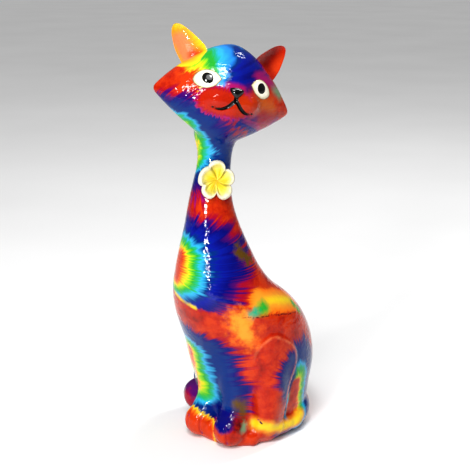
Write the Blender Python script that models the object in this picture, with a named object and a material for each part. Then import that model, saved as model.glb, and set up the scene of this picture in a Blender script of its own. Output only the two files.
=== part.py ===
# A sitting cat with a long neck, cast in resin, with a flower modelled by hand glued below its chin.
# The cat looks along -Y with its body and turns its head towards +X. It stands on z = 0, in metres.
import math

import bmesh
import bpy
import numpy as np
from mathutils import Matrix, Vector
from mathutils.bvhtree import BVHTree

FIGURE_HEIGHT = 0.250
# The cat's forms are given as shares of its height: one share is a 250th of it.
SHARE = FIGURE_HEIGHT / 250

# The flower is a piece of its own, so its sizes are its own, in metres.
FLOWER_WIDTH = 0.0234
FLOWER_THICKNESS = 0.0028
GLUE_GAP = 0.0003

# Stations of the trunk and the neck, from the rump up: height, middle x and y, half width, half depth.
TRUNK = [
    (0, 0.4, 8, 25, 26),
    (6, 0.4, 8, 30, 31),
    (16, 0.4, 8, 33.5, 34),
    (30, 0.4, 7.5, 36, 36),
    (45, 0.4, 6, 38.8, 39),
    (60, 0.2, 2.6, 39.4, 39.6),
    (71, -0.4, -2.1, 39.2, 39.2),
    (80, -1, -6.8, 37.8, 37.8),
    (88, -1.5, -12, 34.9, 34.9),
    (96, -2.3, -18, 30.6, 30.4),
    (106, -3.2, -21.8, 26, 26),
    (120, -4, -24.2, 21.2, 21),
    (134, -4.6, -25.6, 16.6, 16.4),
    (148, -5, -26.4, 13.1, 13.1),
    (160, -5, -25.2, 11.1, 11.1),
    (170, -4.7, -23.6, 10, 10),
    (178, -5, -22.2, 10.3, 10.3),
    (186, -5, -21.3, 12.8, 12.2),
    (194, -4, -20.2, 15.2, 13.6),
]
TRUNK_RINGS = 64
RING_POINTS = 56

# Limbs and tail, each a row of balls along a smooth curve: x, y, z, radius.
LEFT_THIGH = [(22.9, -9.6, 56, 14), (22, -7.2, 42, 15), (22.4, -7.9, 28, 14), (21.6, -8.6, 16, 12.5)]
RIGHT_THIGH = [(-24.8, -1, 54, 13), (-24.3, 2, 42, 13.5), (-24.2, 1, 28, 13.5), (-23.5, 0, 16, 12.5)]
LEFT_LEG = [
    (9, -23, 57, 12),
    (9.5, -21.8, 45, 11.6),
    (10.5, -21, 25, 10.4),
    (11.5, -25.5, 12, 10.8),
    (12, -30, 9.8, 10.4),
]
RIGHT_LEG = [
    (-8, -22.5, 57, 12),
    (-9, -20.8, 45, 11),
    (-9.5, -19.5, 25, 9.6),
    (-11, -25.5, 12, 10),
    (-11.2, -30, 9.8, 10),
]
LEFT_HIND_FOOT = [(27, 2, 9, 9), (25, -7, 9, 9), (21, -14, 8, 8.5)]
RIGHT_HIND_FOOT = [(-24, 4, 12, 10), (-25, -7, 15, 10.5), (-25.5, -14, 17, 10)]
PAW_WEB = [(-10, -27, 5, 6.8), (0.5, -28, 5, 7.2), (11, -28, 5, 6.8), (20, -21.5, 4.6, 6.2)]
TAIL = [
    (-12, 38, 10, 8),
    (2, 37.5, 11.5, 10.5),
    (15, 29.5, 11.5, 10.5),
    (24.5, 19.5, 11, 10),
    (29, 9, 9, 8.5),
]
BALLS_IN_LIMB = 36

# The thigh's rounded border above the trunk's skin: degrees round from the side to the front, and height.
THIGH_BORDER = [
    (60, 40),
    (50, 62.2),
    (40.4, 70.6),
    (31.5, 72.6),
    (20.5, 68.7),
    (11.7, 62.5),
    (7.7, 56.5),
    (8.5, 48.5),
    (14, 35.6),
    (18.3, 22),
    (21, 6),
    (50, 0),
]
THIGH_AXIS_Y = 5
THIGH_AXIS_REACH = 41
THIGH_STEP = 1.5
THIGH_STEP_WIDTH = 2.4
THIGH_STEP_LEFT_INSIDE = 0.35
THIGH_STEP_FADE = 13
# The border dies away towards the front leg, between these two directions.
THIGH_FRONT = (44, 60)
RIGHT_THIGH_BEHIND = 20

# Short grooves between toes, each from its top to its bottom, as points in front of the skin.
TOE_GROOVES = [
    ((6.2, -40, 15.5), (6.4, -40, 6)),
    ((15.6, -40, 15), (16.4, -40, 6)),
    ((-5.6, -40, 15), (-5.8, -40, 6)),
    ((-14.6, -40, 14.5), (-15.2, -40, 6)),
]
TOE_GROOVE_STEPS = 4
GROOVE_RADIUS = 0.75
GROOVE_END = 0.45
GROOVE_SIDES = 6

# The head turns about its middle: yaw from -Y towards +X, pitch upwards, and roll down to its left.
HEAD_MIDDLE = (-1.6, -19, 207.3)
HEAD_YAW = 57
HEAD_PITCH = 8
HEAD_ROLL = 12.9
# In the head's own axes x is towards its left, -y is where it looks and z is up.
CHEEK = 42.0
CHEEK_TIP = 0.8
CHEEK_SWEEP = 4.8
CROWN = 31.0
CHIN = 21.5
FACE_DEPTH = 20.5
NAPE_DEPTH = 20.0
FACE_FORWARD = 3.0
JAW_LEVEL = -0.6
JAW_DROP = 3.5
# How full the head stays towards its cheek tips: the higher, the fuller.
CROWN_FULLNESS = 1.67
CHIN_FULLNESS = 1.2
FACE_FULLNESS = 1.35
NAPE_FULLNESS = 1.6
JAW_HOLLOW = 1.3
MUZZLE_PAD = ((7.2, -16.4, -1.3), (9.2, 8.0, 7.2))
HEAD_RINGS = 60

# The ear is a cupped leaf. Its rows go from inside the head to the tip: place along the ear's axis,
# inner edge and outer edge.
EAR_FOOT = (20.9, -1.65, 21.25)
EAR_TIP = (31.9, 5.7, 37.3)
EAR_ACROSS = (0.775, 0.169, -0.609)
EAR_ROWS = [
    (-9, -8.1, 8.4),
    (-4, -8.2, 8.6),
    (0, -8.1, 8.7),
    (4, -7.5, 8.6),
    (8, -6.4, 8.3),
    (12, -5.1, 7.4),
    (15, -4, 6.5),
    (17.5, -2.9, 5.6),
    (19.5, -1.6, 4.4),
    (20.7, -0.4, 3.4),
    (21.4, 0.9, 2.2),
]
EAR_CUP = 3.6
EAR_FORWARD = 1.44
EAR_WALL = 2.3
# Half widths below which the cup and the wall get less.
CUP_FROM = 7
WALL_FROM = 5
EAR_SIDES = 18

# Outlines on the face in the head's x and z. The eye and the mouth are given for the left side.
EYE_OUTLINE = [
    (8.6, 9.6),
    (10.1, 11.7),
    (12.1, 13.2),
    (14.4, 14.0),
    (17.0, 13.9),
    (19.6, 12.4),
    (21.6, 10.0),
    (22.9, 6.9),
    (20.8, 5.0),
    (17.7, 3.7),
    (14.4, 4.0),
    (11.3, 6.0),
]
EYE_RAISE = 0.9
EYE_FLATNESS = 4
NOSE_OUTLINE = [
    (-4.2, 4.9),
    (-3.4, 5.9),
    (0, 6.3),
    (3.4, 5.9),
    (4.2, 4.9),
    (3.2, 3.0),
    (1.5, 1.4),
    (0, 0.7),
    (-1.5, 1.4),
    (-3.2, 3.0),
]
NOSE_RAISE = 1.4
NOSE_FLATNESS = 2.5
MOUTH_LINE = [(0.1, 1.2), (0.2, -0.8), (1.6, -2.4), (3.6, -4.6), (6.4, -6.4), (9.4, -6.9), (12.8, -5.9)]
MOUTH_STEPS = 12
# A raised patch's rings, as shares of its outline, and how deep it reaches below the skin.
PATCH_RINGS = (0.45, 0.78, 0.93, 1.0)
PATCH_DEPTH = 1.2
PATCH_SIDES = 26

# Where the flower sits on the neck, and which way it looks, in degrees.
NECK_MIDDLE = (-5, -25.6, 163)
FLOWER_FACING = 55
FLOWER_LEAN = 12
# Petal tips and the notches between them: direction in degrees, and reach as a share of half the width.
PETAL_TIPS = [(84, 1.0), (12, 0.93), (-62, 1.03), (-126, 1.0), (175, 0.95)]
PETAL_NOTCHES = [(117, 0.82), (49, 0.71), (-22, 0.75), (-97, 0.61), (-163, 0.78)]
PETAL_ROUNDNESS = 2.6
# The flower's rings from its middle over the rim down its side: share of the reach and of the thickness.
FLOWER_RINGS = [(0.12, 0.5), (0.35, 0.62), (0.6, 0.82), (0.8, 0.98), (0.93, 1.0), (1.0, 0.72), (0.97, 0.2)]
FLOWER_BACK = 0.42
CREASE_DEPTH = 0.34
CREASE_SHARPNESS = 5
CREASE_FROM = 0.62
FLOWER_SIDES = 50
NECK_SAMPLES = 25

# Cell size of the fused skins, and how far their inner corners are rounded.
VOXEL = 1.3
SOFT_BLEND = 4.4
CRISP_BLEND = 2.0
SKIN_FACETS = 6500
FLOOR_BLOCK = 0.4

RESIN_COLOUR = (0.62, 0.08, 0.04, 1)
RESIN_ROUGHNESS = 0.15
CLAY_COLOUR = (0.85, 0.68, 0.16, 1)
CLAY_ROUGHNESS = 0.55


def share(*numbers):
    """A point or a size given in shares of the figure, in metres."""
    return Vector(numbers) * SHARE if len(numbers) > 1 else numbers[0] * SHARE


def clear_scene():
    for item in list(bpy.data.objects):
        bpy.data.objects.remove(item)


def finish(name, colour, roughness):
    material = bpy.data.materials.new(name)
    material.use_nodes = True
    shader = material.node_tree.nodes["Principled BSDF"]
    shader.inputs["Base Color"].default_value = colour
    shader.inputs["Roughness"].default_value = roughness
    shader.inputs["Metallic"].default_value = 0
    return material


def place_object(name, mesh):
    made = bpy.data.objects.new(name, mesh)
    bpy.context.scene.collection.objects.link(made)
    return made


def new_object(name, *builders):
    """An object named name, whose mesh is what the builders draw."""
    mesh = bpy.data.meshes.new(name)
    shape = bmesh.new()
    for builder in builders:
        builder(shape)
    bmesh.ops.recalc_face_normals(shape, faces=shape.faces)
    shape.to_mesh(mesh)
    shape.free()
    mesh.shade_smooth()
    return place_object(name, mesh)


def worked_mesh(thing):
    """A mesh of thing with its modifiers worked in."""
    bpy.context.view_layer.update()
    graph = bpy.context.evaluated_depsgraph_get()
    return bpy.data.meshes.new_from_object(thing.evaluated_get(graph))


def skin(shape, rings):
    """Closes rings of points, each with as many points, into one skin with a fan at each end."""
    rows = [[shape.verts.new(point) for point in ring] for ring in rings]
    count = len(rows[0])
    for low, high in zip(rows, rows[1:]):
        for i in range(count):
            j = (i + 1) % count
            shape.faces.new((low[i], low[j], high[j], high[i]))
    for row in (rows[0], rows[-1]):
        middle = shape.verts.new(sum((v.co for v in row), Vector()) / count)
        for i in range(count):
            shape.faces.new((row[i], row[(i + 1) % count], middle))


def smooth_table(table, steps):
    """Rows read at even steps from a smooth curve through the table, whose first column rises."""
    rows = np.array(table, float)
    at = rows[:, 0]
    slopes = np.gradient(rows[:, 1:], at, axis=0)
    out = []
    for x in np.linspace(at[0], at[-1], steps):
        k = min(int(np.searchsorted(at, x, side="right")) - 1, len(at) - 2)
        gap = at[k + 1] - at[k]
        t = (x - at[k]) / gap
        low, high = rows[k, 1:], rows[k + 1, 1:]
        value = (
            (2 * t**3 - 3 * t**2 + 1) * low
            + (t**3 - 2 * t**2 + t) * gap * slopes[k]
            + (3 * t**2 - 2 * t**3) * high
            + (t**3 - t**2) * gap * slopes[k + 1]
        )
        out.append([x, *value])
    return out


def smooth_path(points, steps):
    """Points read at even steps from a smooth curve through the given points."""
    return [row[1:] for row in smooth_table([(i, *point) for i, point in enumerate(points)], steps)]


def smooth_loop(points, steps):
    """Points read at even steps from a smooth closed curve through the given points."""
    return smooth_path([*points, points[0]], steps + 1)[:-1]


def angles_round(count):
    return [2 * math.pi * k / count for k in range(count)]


def trunk(shape):
    rings = []
    for z, x, y, wide, deep in smooth_table(TRUNK, TRUNK_RINGS):
        angles = angles_round(RING_POINTS)
        rings.append([share(x + wide * math.cos(a), y + deep * math.sin(a), z) for a in angles])
    skin(shape, rings)


def head_frame():
    """The head's place and turn: its x is towards its left, its -y is where it looks, its z is up."""
    turn = (
        Matrix.Rotation(math.radians(HEAD_YAW), 4, "Z")
        @ Matrix.Rotation(math.radians(-HEAD_PITCH), 4, "X")
        @ Matrix.Rotation(math.radians(HEAD_ROLL), 4, "Y")
    )
    return Matrix.Translation(share(*HEAD_MIDDLE)) @ turn


def head(shape):
    """The head is wide from cheek tip to cheek tip, round above, and drawn in straight to the neck below."""
    place = head_frame()
    rings = []
    for t in np.linspace(-1, 1, HEAD_RINGS + 1)[1:-1]:
        across = math.sin(t * math.pi / 2)
        out = abs(across)
        jaw = JAW_LEVEL - JAW_DROP * (1 - out**2)
        up = CROWN * (1 - out**CROWN_FULLNESS) + CHEEK_TIP - jaw
        down = CHIN * (1 - out**CHIN_FULLNESS) + CHEEK_TIP
        front = FACE_DEPTH * (1 - out**FACE_FULLNESS) + CHEEK_TIP
        back = NAPE_DEPTH * (1 - out**NAPE_FULLNESS) + CHEEK_TIP
        sweep = CHEEK_SWEEP * out**NAPE_FULLNESS - FACE_FORWARD
        ring = []
        for a in angles_round(RING_POINTS):
            y, z = math.cos(a), math.sin(a)
            if z < 0:
                y, z = math.copysign(abs(y) ** JAW_HOLLOW, y), -(abs(z) ** JAW_HOLLOW)
            y *= back if y > 0 else front
            z *= up if z > 0 else down
            ring.append(place @ share(across * CHEEK, sweep + y, jaw + z))
        rings.append(ring)
    skin(shape, rings)


def muzzle_pads(shape):
    (x, y, z), radii = MUZZLE_PAD
    for side in (-1, 1):
        place = head_frame() @ Matrix.Translation(share(side * x, y, z))
        stretch = Matrix.Diagonal((*share(*radii), 1))
        bmesh.ops.create_icosphere(shape, subdivisions=4, radius=1, matrix=place @ stretch)


def limb(shape, path):
    """A limb with round ends: balls along a smooth curve."""
    for x, y, z, radius in smooth_path(path, BALLS_IN_LIMB):
        place = Matrix.Translation(share(x, y, z))
        bmesh.ops.create_icosphere(shape, subdivisions=3, radius=share(radius), matrix=place)


def thighs_and_legs(shape):
    for path in (LEFT_THIGH, RIGHT_THIGH, LEFT_LEG, RIGHT_LEG):
        limb(shape, path)


def feet_and_tail(shape):
    for path in (LEFT_HIND_FOOT, RIGHT_HIND_FOOT, PAW_WEB, TAIL):
        limb(shape, path)


def fused(name, blend, *builders):
    """One closed skin over all that the builders draw, with its inner corners rounded by blend."""
    rough = new_object(name, *builders)
    fuse = rough.modifiers.new("Fuse", "REMESH")
    fuse.mode = "VOXEL"
    fuse.voxel_size = share(VOXEL)
    fuse.use_smooth_shade = True
    ease = rough.modifiers.new("Ease", "SMOOTH")
    ease.factor = 0.5
    ease.iterations = round((blend / VOXEL) ** 2)
    mesh = worked_mesh(rough)
    bpy.data.objects.remove(rough)
    return mesh


def inside_distance(points, outline):
    """How far each point lies inside a closed outline; negative outside."""
    edge = np.array(outline, float)
    nearest = np.full(len(points), np.inf)
    inside = np.zeros(len(points), bool)
    for start, end in zip(edge, np.roll(edge, -1, axis=0)):
        way = end - start
        t = np.clip(((points - start) @ way) / (way @ way), 0, 1)
        nearest = np.minimum(nearest, np.hypot(*(points - start - t[:, None] * way).T))
        crosses = (start[1] > points[:, 1]) != (end[1] > points[:, 1])
        rise = way[1] or 1e-9
        inside ^= crosses & (points[:, 0] < start[0] + (points[:, 1] - start[1]) * way[0] / rise)
    return np.where(inside, nearest, -nearest)


def thigh_relief(places):
    """How far the thighs' rounded borders lift the skin at places, all in shares."""
    reach = math.radians(THIGH_AXIS_REACH)
    border = [(degrees * reach, z) for degrees, z in smooth_loop(THIGH_BORDER, 4 * len(THIGH_BORDER))]
    fade_from, fade_to = THIGH_FRONT
    lift = np.zeros(len(places))
    for side, behind in ((1, 0), (-1, RIGHT_THIGH_BEHIND)):
        degrees = np.degrees(np.arctan2(THIGH_AXIS_Y - places[:, 1], side * places[:, 0])) + behind
        depth = inside_distance(np.column_stack([degrees * reach, places[:, 2]]), border)
        step = np.clip(depth / THIGH_STEP_WIDTH + 0.5, 0, 1)
        front = np.clip((fade_to - degrees) / (fade_to - fade_from), 0, 1)
        fade = np.exp(-np.maximum(depth, 0) / THIGH_STEP_FADE)
        kept = THIGH_STEP_LEFT_INSIDE + (1 - THIGH_STEP_LEFT_INSIDE) * fade
        lift += THIGH_STEP * step**2 * (3 - 2 * step) * front * kept
    return lift


def raise_thighs(mesh):
    count = len(mesh.vertices)
    places, normals = np.empty(count * 3), np.empty(count * 3)
    mesh.vertices.foreach_get("co", places)
    mesh.vertex_normals.foreach_get("vector", normals)
    places, normals = places.reshape(-1, 3), normals.reshape(-1, 3)
    places += normals * (thigh_relief(places / SHARE) * SHARE)[:, None]
    mesh.vertices.foreach_set("co", places.ravel())
    mesh.update()


def lay_on_face(tree, x, z):
    """The skin's point that is seen straight from the front of the head at x and z, in the head's axes."""
    frame = head_frame()
    inward = frame.to_3x3() @ Vector((0, 1, 0))
    hit, _, _, _ = tree.ray_cast(frame @ share(x, -2 * CHEEK, z), inward)
    return frame.inverted() @ hit


def lay_on_paw(tree, point):
    """The skin's point that is met on the level way from point to the trunk's axis."""
    inward = Vector((-point.x / 4, THIGH_AXIS_Y - point.y, 0)).normalized()
    hit, _, _, _ = tree.ray_cast(share(*point), inward)
    return hit


def raised_patch(tree, outline, height, flatness):
    """A builder for a pad on the face inside outline, raised by height and rounded off at its edge."""

    def draw(shape):
        frame = head_frame()
        edge = smooth_loop(outline, PATCH_SIDES)
        middle_x = sum(x for x, _ in edge) / PATCH_SIDES
        middle_z = sum(z for _, z in edge) / PATCH_SIDES
        rings = []
        for part in PATCH_RINGS:
            lift = share(0, -height * (1 - part**flatness), 0)
            spots = [(middle_x + (x - middle_x) * part, middle_z + (z - middle_z) * part) for x, z in edge]
            rings.append([frame @ (lay_on_face(tree, *spot) + lift) for spot in spots])
        rings.append([frame @ (lay_on_face(tree, *spot) + share(0, PATCH_DEPTH, 0)) for spot in edge])
        skin(shape, rings)

    return draw


def groove_rod(points):
    """A builder for a round rod through points, thinner at its ends, that cuts a groove."""

    def draw(shape):
        rings = []
        last = len(points) - 1
        side = (points[1] - points[0]).orthogonal()
        for k, point in enumerate(points):
            along = (points[min(k + 1, last)] - points[max(k - 1, 0)]).normalized()
            side = (side - along * side.dot(along)).normalized()
            other = along.cross(side)
            radius = share(GROOVE_RADIUS) * (GROOVE_END if k in (0, last) else 1)
            angles = angles_round(GROOVE_SIDES)
            rings.append([point + (side * math.cos(a) + other * math.sin(a)) * radius for a in angles])
        skin(shape, rings)

    return draw


def ear(side):
    """A builder for one cupped ear; side is 1 for the head's left ear."""

    def draw(shape):
        frame = head_frame()
        foot, tip, across = Vector(EAR_FOOT), Vector(EAR_TIP), Vector(EAR_ACROSS)
        along = (tip - foot).normalized()
        across = (across - along * across.dot(along)).normalized()
        back = along.cross(across)
        rings = []
        for v, inner, outer in EAR_ROWS:
            middle, half = (inner + outer) / 2, (outer - inner) / 2
            cup = EAR_CUP * min(1, half / CUP_FROM)
            wall = EAR_WALL / 2 * min(1, half / WALL_FROM)
            ring = []
            for a in angles_round(EAR_SIDES):
                u = math.cos(a)
                depth = cup * (1 - u**2) + wall * (1 + math.sin(a) * (1 - u**2 / 4)) - EAR_FORWARD
                point = foot + along * v + across * (middle + half * u) + back * depth
                ring.append(frame @ share(side * point.x, point.y, point.z))
            rings.append(ring)
        skin(shape, rings)

    return draw


def combine(thing, helper, operation):
    """Joins helper to thing or cuts it from thing."""
    step = thing.modifiers.new(helper.name, "BOOLEAN")
    step.operation = operation
    step.solver = "EXACT"
    step.object = helper
    helper.hide_render = True
    helper.display_type = "WIRE"


def floor_block(shape):
    place = Matrix.Translation((0, 0, -FLOOR_BLOCK / 2))
    bmesh.ops.create_cube(shape, size=FLOOR_BLOCK, matrix=place)


def carve_face(cat, tree):
    for side, name in ((1, "left"), (-1, "right")):
        combine(cat, new_object(name + "_ear", ear(side)), "UNION")
        outline = [(side * x, z) for x, z in EYE_OUTLINE]
        combine(cat, new_object(name + "_eye", raised_patch(tree, outline, EYE_RAISE, EYE_FLATNESS)), "UNION")
        spots = [(side * x, z) for x, z in smooth_path(MOUTH_LINE, MOUTH_STEPS)]
        line = [head_frame() @ lay_on_face(tree, *spot) for spot in spots]
        combine(cat, new_object(name + "_mouth", groove_rod(line)), "DIFFERENCE")
    combine(cat, new_object("nose", raised_patch(tree, NOSE_OUTLINE, NOSE_RAISE, NOSE_FLATNESS)), "UNION")


def carve_toes(cat, tree):
    for number, (top, bottom) in enumerate(TOE_GROOVES):
        parts = [k / TOE_GROOVE_STEPS for k in range(TOE_GROOVE_STEPS + 1)]
        line = [lay_on_paw(tree, Vector(top).lerp(Vector(bottom), part)) for part in parts]
        combine(cat, new_object(f"toe_groove_{number}", groove_rod(line)), "DIFFERENCE")


def build_cat():
    """The cat in one piece, and a search tree of its skin for what is laid on it."""
    core = fused("core", SOFT_BLEND, trunk, head, muzzle_pads, thighs_and_legs)
    whole = fused("whole", CRISP_BLEND, lambda shape: shape.from_mesh(core), feet_and_tail)
    raise_thighs(whole)
    whole.materials.append(finish("glazed_resin", RESIN_COLOUR, RESIN_ROUGHNESS))
    cat = place_object("cat_figure", whole)
    bpy.context.view_layer.update()
    tree = BVHTree.FromObject(cat, bpy.context.evaluated_depsgraph_get())
    facets = cat.modifiers.new("Facets", "DECIMATE")
    facets.ratio = SKIN_FACETS / (2 * len(whole.polygons))
    carve_face(cat, tree)
    carve_toes(cat, tree)
    floor = new_object("floor", floor_block)
    floor.data.shade_flat()
    combine(cat, floor, "DIFFERENCE")
    return cat, tree


def flower_frame(tree):
    """The flower's place: its z faces away from the neck and its y is up the neck."""
    facing = math.radians(FLOWER_FACING)
    out = Vector((math.sin(facing), -math.cos(facing), 0))
    hit, _, _, _ = tree.ray_cast(share(*NECK_MIDDLE) + out * share(CHEEK), -out)
    turn = Matrix.Rotation(facing, 4, "Z") @ Matrix.Rotation(math.radians(90 - FLOWER_LEAN), 4, "X")
    frame = Matrix.Translation(hit) @ turn
    # The skin's highest point under the flower decides how far out its flat back sits.
    outward = frame.to_3x3() @ Vector((0, 0, 1))
    half = FLOWER_WIDTH / 2
    highest = 0
    for x in np.linspace(-half, half, NECK_SAMPLES):
        for y in np.linspace(-half, half, NECK_SAMPLES):
            under, _, _, _ = tree.ray_cast(frame @ Vector((x, y, half)), -outward)
            if under and math.hypot(x, y) < half:
                highest = max(highest, (frame.inverted() @ under).z)
    return Matrix.Translation(outward * (highest + GLUE_GAP)) @ frame


def petal_reach(angle):
    """The flower's reach at angle in degrees, and how near a notch that is: 0 at a petal's tip, 1 in it."""
    marks = [(direction % 360, reach, False) for direction, reach in PETAL_TIPS]
    marks += [(direction % 360, reach, True) for direction, reach in PETAL_NOTCHES]
    marks.sort()
    before, after = marks[-1], marks[0]
    marks = [(before[0] - 360, *before[1:]), *marks, (after[0] + 360, *after[1:])]
    k = next(k for k in range(len(marks) - 1) if marks[k][0] <= angle < marks[k + 1][0])
    (start, reach, from_notch), (end, next_reach, _) = marks[k], marks[k + 1]
    t = (angle - start) / (end - start)
    near = 1 - t if from_notch else t
    tip, notch = (next_reach, reach) if from_notch else (reach, next_reach)
    return tip + (notch - tip) * near**PETAL_ROUNDNESS, near


def flower(frame):
    """A builder for the flower: petals with thick rims round a sunk middle, and a flat back."""

    def draw(shape):
        half = FLOWER_WIDTH / 2
        angles = angles_round(FLOWER_SIDES)
        rings = []
        for part, lift in FLOWER_RINGS:
            ring = []
            for a in angles:
                reach, near = petal_reach(math.degrees(a))
                radius = half * reach * part
                crease = CREASE_DEPTH * near**CREASE_SHARPNESS * min(1, part / CREASE_FROM) * lift
                height = FLOWER_THICKNESS * (lift - crease)
                ring.append(frame @ Vector((radius * math.cos(a), radius * math.sin(a), height)))
            rings.append(ring)
        back = half * FLOWER_BACK
        rings.append([frame @ Vector((back * math.cos(a), back * math.sin(a), 0)) for a in angles])
        skin(shape, rings)

    return draw


def build_flower(tree):
    made = new_object("neck_flower", flower(flower_frame(tree)))
    made.data.materials.append(finish("painted_clay", CLAY_COLOUR, CLAY_ROUGHNESS))


def stand_on_origin(cat):
    """Moves all pieces together so that the middle of the cat's underside box is the origin."""
    corners = np.array([vertex.co for vertex in worked_mesh(cat).vertices])
    middle = (corners.min(axis=0) + corners.max(axis=0)) / 2
    for item in bpy.context.scene.objects:
        item.location = (-middle[0], -middle[1], 0)


clear_scene()
figure, figure_skin = build_cat()
build_flower(figure_skin)
stand_on_origin(figure)
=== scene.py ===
# %% [markdown]
# # A tie-dye cat in resin
#
# This scene dresses a seated cat figurine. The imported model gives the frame: where the cat and its flower
# are and how big they may be. The first half of the lesson rebuilds the cat's skin at a fineness that holds
# the lines of its face and toes. The second half paints it in tie-dye, glazes it, and lights it as for a
# shop photo.

# %% Load the frame
import math
from functools import partial

import bmesh
import bpy
import numpy as np
from mathutils import Matrix, Vector
from mathutils.bvhtree import BVHTree

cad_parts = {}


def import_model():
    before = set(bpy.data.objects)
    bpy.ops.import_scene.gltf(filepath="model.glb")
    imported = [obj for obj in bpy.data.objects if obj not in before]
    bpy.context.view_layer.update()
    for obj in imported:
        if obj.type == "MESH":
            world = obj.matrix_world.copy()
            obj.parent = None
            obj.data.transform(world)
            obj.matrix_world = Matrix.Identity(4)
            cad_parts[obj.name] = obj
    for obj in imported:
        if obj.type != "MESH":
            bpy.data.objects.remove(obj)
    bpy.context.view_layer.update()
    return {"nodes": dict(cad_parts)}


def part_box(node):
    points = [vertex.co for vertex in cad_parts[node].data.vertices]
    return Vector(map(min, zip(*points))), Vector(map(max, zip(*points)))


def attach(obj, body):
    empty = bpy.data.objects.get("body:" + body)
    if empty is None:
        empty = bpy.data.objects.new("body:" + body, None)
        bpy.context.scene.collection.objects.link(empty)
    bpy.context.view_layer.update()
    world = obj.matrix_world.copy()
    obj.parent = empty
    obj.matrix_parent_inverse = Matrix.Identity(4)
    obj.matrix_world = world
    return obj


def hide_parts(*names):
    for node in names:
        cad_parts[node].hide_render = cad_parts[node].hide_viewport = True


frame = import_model()
cat_low, cat_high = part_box("cat_figure")
print("frame nodes:", sorted(frame["nodes"]))
print("cat height in mm:", round((cat_high.z - cat_low.z) * 1000, 1))

# %% [markdown]
# ## One unit for the whole cat
#
# A free form like this has no round dimensions, so its numbers are shares of the cat's height, each a 250th
# of it. Metres would do as well, but such small fractions are hard to read and to compare. One function
# turns shares into metres.

# %% Shares of the height
FIGURE_HEIGHT = 0.25
SHARE = FIGURE_HEIGHT / 250


def share(*numbers):
    """A point or a size in shares of the height, in metres."""
    return Vector(numbers) * SHARE if len(numbers) > 1 else numbers[0] * SHARE


print("one share in mm:", SHARE * 1000)

# %% [markdown]
# ## Skins from rings
#
# The trunk, head and ears are lofts: rings of points, one after the other, closed with a fan at each end.
# The rings come from short tables, and a smooth curve through each table fills in the rows between. Such
# forms could be sculpted by hand, but twenty rows are easier to correct than ten thousand points.


# %% Rings and smooth tables
def skin(shape, rings):
    """Closes rings of points into one skin, with a fan at each end."""
    rows = [[shape.verts.new(point) for point in ring] for ring in rings]
    count = len(rows[0])
    for low, high in zip(rows, rows[1:]):
        for i in range(count):
            j = (i + 1) % count
            shape.faces.new((low[i], low[j], high[j], high[i]))
    for row in (rows[0], rows[-1]):
        middle = shape.verts.new(sum((v.co for v in row), Vector()) / count)
        for i in range(count):
            shape.faces.new((row[i], row[(i + 1) % count], middle))


def smooth_table(table, steps):
    """Rows read at even steps from a smooth curve through the table, whose first column rises."""
    rows = np.array(table, float)
    at = rows[:, 0]
    slopes = np.gradient(rows[:, 1:], at, axis=0)
    out = []
    for x in np.linspace(at[0], at[-1], steps):
        k = min(int(np.searchsorted(at, x, side="right")) - 1, len(at) - 2)
        gap = at[k + 1] - at[k]
        t = (x - at[k]) / gap
        low, high = rows[k, 1:], rows[k + 1, 1:]
        value = (
            (2 * t**3 - 3 * t**2 + 1) * low
            + (t**3 - 2 * t**2 + t) * gap * slopes[k]
            + (3 * t**2 - 2 * t**3) * high
            + (t**3 - t**2) * gap * slopes[k + 1]
        )
        out.append([x, *value])
    return out


def smooth_path(points, steps):
    """Places at even steps on a smooth curve through the points."""
    return [row[1:] for row in smooth_table([(i, *point) for i, point in enumerate(points)], steps)]


def smooth_loop(points, steps):
    """Places at even steps on a smooth closed curve through the points."""
    return smooth_path([*points, points[0]], steps + 1)[:-1]


def angles_round(count):
    return [2 * math.pi * k / count for k in range(count)]


# %% [markdown]
# ## The trunk and the neck
#
# Seen from the front the cat is a tall drop: a wide rump, a chest that leans forward over the paws, and a
# neck that is thinnest just below the chin. Each station gives the height, the middle and the two half
# widths of an ellipse. A turned profile would be simpler, but its middle couldn't move forward with the
# height as the real neck's does.

# %% Trunk stations
RING_POINTS = 96
TRUNK_RINGS = 120
TRUNK = [
    (0, 0.4, 8, 25, 26),
    (6, 0.4, 8, 30, 31),
    (16, 0.4, 8, 33.5, 34),
    (30, 0.4, 7.5, 36, 36),
    (45, 0.4, 6, 38.8, 39),
    (60, 0.2, 2.6, 39.4, 39.6),
    (71, -0.4, -2.1, 39.2, 39.2),
    (80, -1, -6.8, 37.8, 37.8),
    (88, -1.5, -12, 34.9, 34.9),
    (96, -2.3, -18, 30.6, 30.4),
    (106, -3.2, -21.8, 26, 26),
    (120, -4, -24.2, 21.2, 21),
    (134, -4.6, -25.6, 16.6, 16.4),
    (148, -5, -26.4, 13.1, 13.1),
    (160, -5, -25.2, 11.1, 11.1),
    (170, -4.7, -23.6, 10, 10),
    (178, -5, -22.2, 10.3, 10.3),
    (186, -5, -21.3, 12.8, 12.2),
    (194, -4, -20.2, 15.2, 13.6),
]


def trunk(shape):
    rings = []
    for z, x, y, wide, deep in smooth_table(TRUNK, TRUNK_RINGS):
        angles = angles_round(RING_POINTS)
        rings.append([share(x + wide * math.cos(a), y + deep * math.sin(a), z) for a in angles])
    skin(shape, rings)


print("trunk stations:", len(TRUNK))

# %% [markdown]
# ## The head
#
# The head is a lozenge: it runs out to a point at each cheek, is domed above and drawn in straight to the
# neck below. It is built in axes of its own, with x towards the cat's left, -y where it looks and z up.
# Then one matrix turns, nods and tilts it, so the face stays symmetric although the head is turned.

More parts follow.
